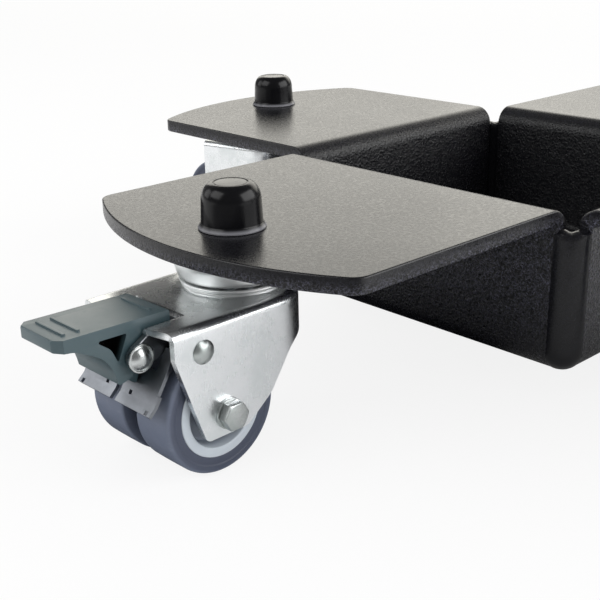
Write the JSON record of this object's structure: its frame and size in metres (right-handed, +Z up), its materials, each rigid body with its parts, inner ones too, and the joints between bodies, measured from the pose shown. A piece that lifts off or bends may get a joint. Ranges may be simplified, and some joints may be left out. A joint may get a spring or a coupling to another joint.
{
  "type": "piano dolly",
  "caption": "Piano dolly: a sunken square steel tray whose folded-out wings stand on twin-wheel swivel castors, some of them with a pedal brake.",
  "frame": {"origin": "on the floor, under the middle of the tray", "axes": "+Z up, -Y towards the front castor, +X towards the right castor"},
  "size_m": [0.488, 0.5482, 0.101],
  "materials": {
    "coat": "textured black powder coat on steel plate",
    "zinc": "bright zinc plate on pressed steel",
    "steel": "dull zinc plate",
    "cap": "glossy moulded black plastic",
    "tyre": "smooth non-marking grey rubber",
    "rim": "moulded pale grey plastic",
    "pedal": "moulded grey-green plastic"
  },
  "bodies": {
    "root": {"deck": "coat", "corner_welds": "coat", "stem_bolts": "zinc", "thrust_washers": "steel", "swivel_heads": "zinc", "stem_washers": "zinc", "stem_nuts": "zinc", "nut_caps": "cap"},
    "front_castor": {"front_fork": "zinc", "front_ball_race": "steel", "front_axle_bolt": "zinc", "front_axle_washers": "zinc", "front_axle_nut": "zinc", "front_axle_sleeve": "steel", "front_pedal_pin": "zinc", "front_leaf_rivet": "zinc"},
    "front_wheel_a": {"front_rim_a": "rim", "front_tyre_a": "tyre"},
    "front_wheel_b": {"front_rim_b": "rim", "front_tyre_b": "tyre"},
    "front_pedal": {"front_pedal": "pedal"},
    "front_leaf": {"front_brake_leaf": "steel"},
    "left_castor": {"left_fork": "zinc", "left_ball_race": "steel", "left_axle_bolt": "zinc", "left_axle_washers": "zinc", "left_axle_nut": "zinc", "left_axle_sleeve": "steel"},
    "left_wheel_a": {"left_rim_a": "rim", "left_tyre_a": "tyre"},
    "left_wheel_b": {"left_rim_b": "rim", "left_tyre_b": "tyre"},
    "back_castor": {"back_fork": "zinc", "back_ball_race": "steel", "back_axle_bolt": "zinc", "back_axle_washers": "zinc", "back_axle_nut": "zinc", "back_axle_sleeve": "steel", "back_pedal_pin": "zinc", "back_leaf_rivet": "zinc"},
    "back_wheel_a": {"back_rim_a": "rim", "back_tyre_a": "tyre"},
    "back_wheel_b": {"back_rim_b": "rim", "back_tyre_b": "tyre"},
    "back_pedal": {"back_pedal": "pedal"},
    "back_leaf": {"back_brake_leaf": "steel"},
    "right_castor": {"right_fork": "zinc", "right_ball_race": "steel", "right_axle_bolt": "zinc", "right_axle_washers": "zinc", "right_axle_nut": "zinc", "right_axle_sleeve": "steel"},
    "right_wheel_a": {"right_rim_a": "rim", "right_tyre_a": "tyre"},
    "right_wheel_b": {"right_rim_b": "rim", "right_tyre_b": "tyre"}
  },
  "joints": [
    {"name": "front_swivel", "type": "hinge", "parent": "root", "child": "front_castor", "pos_m": [0, -0.1874, 0.06565], "axis": [0, 0, 1], "continuous": true},
    {"name": "front_wheel_a_spin", "type": "hinge", "parent": "front_castor", "child": "front_wheel_a", "pos_m": [0.00054, -0.21539, 0.025], "axis": [0.9998, 0.0192, 0], "continuous": true},
    {"name": "front_wheel_b_spin", "type": "hinge", "parent": "front_castor", "child": "front_wheel_b", "pos_m": [0.00054, -0.21539, 0.025], "axis": [0.9998, 0.0192, 0], "continuous": true},
    {"name": "front_pedal_hinge", "type": "hinge", "parent": "front_castor", "child": "front_pedal", "pos_m": [0.00108, -0.24375, 0.0522], "axis": [0.9998, 0.0192, 0], "range_deg": [0, 20]},
    {"name": "front_leaf_hinge", "type": "hinge", "parent": "front_castor", "child": "front_leaf", "pos_m": [0.00073, -0.22542, 0.0521], "axis": [0.9998, 0.0192, 0], "range_deg": [0, 9]},
    {"name": "left_swivel", "type": "hinge", "parent": "root", "child": "left_castor", "pos_m": [-0.1874, 0, 0.06565], "axis": [0, 0, 1], "continuous": true},
    {"name": "left_wheel_a_spin", "type": "hinge", "parent": "left_castor", "child": "left_wheel_a", "pos_m": [-0.21468, -0.0063, 0.025], "axis": [0.225, -0.9744, 0], "continuous": true},
    {"name": "left_wheel_b_spin", "type": "hinge", "parent": "left_castor", "child": "left_wheel_b", "pos_m": [-0.21468, -0.0063, 0.025], "axis": [0.225, -0.9744, 0], "continuous": true},
    {"name": "back_swivel", "type": "hinge", "parent": "root", "child": "back_castor", "pos_m": [0, 0.1874, 0.06565], "axis": [0, 0, 1], "continuous": true},
    {"name": "back_wheel_a_spin", "type": "hinge", "parent": "back_castor", "child": "back_wheel_a", "pos_m": [-0.00054, 0.21539, 0.025], "axis": [-0.9998, -0.0192, 0], "continuous": true},
    {"name": "back_wheel_b_spin", "type": "hinge", "parent": "back_castor", "child": "back_wheel_b", "pos_m": [-0.00054, 0.21539, 0.025], "axis": [-0.9998, -0.0192, 0], "continuous": true},
    {"name": "back_pedal_hinge", "type": "hinge", "parent": "back_castor", "child": "back_pedal", "pos_m": [-0.00108, 0.24375, 0.0522], "axis": [-0.9998, -0.0192, 0], "range_deg": [0, 20]},
    {"name": "back_leaf_hinge", "type": "hinge", "parent": "back_castor", "child": "back_leaf", "pos_m": [-0.00073, 0.22542, 0.0521], "axis": [-0.9998, -0.0192, 0], "range_deg": [0, 9]},
    {"name": "right_swivel", "type": "hinge", "parent": "root", "child": "right_castor", "pos_m": [0.1874, 0, 0.06565], "axis": [0, 0, 1], "continuous": true},
    {"name": "right_wheel_a_spin", "type": "hinge", "parent": "right_castor", "child": "right_wheel_a", "pos_m": [0.21468, 0.0063, 0.025], "axis": [-0.225, 0.9744, 0], "continuous": true},
    {"name": "right_wheel_b_spin", "type": "hinge", "parent": "right_castor", "child": "right_wheel_b", "pos_m": [0.21468, 0.0063, 0.025], "axis": [-0.225, 0.9744, 0], "continuous": true}
  ],
  "couplings": [
    {"joint": "front_leaf_hinge", "follows": "front_pedal_hinge", "ratio": 0.45},
    {"joint": "back_leaf_hinge", "follows": "back_pedal_hinge", "ratio": 0.45}
  ]
}
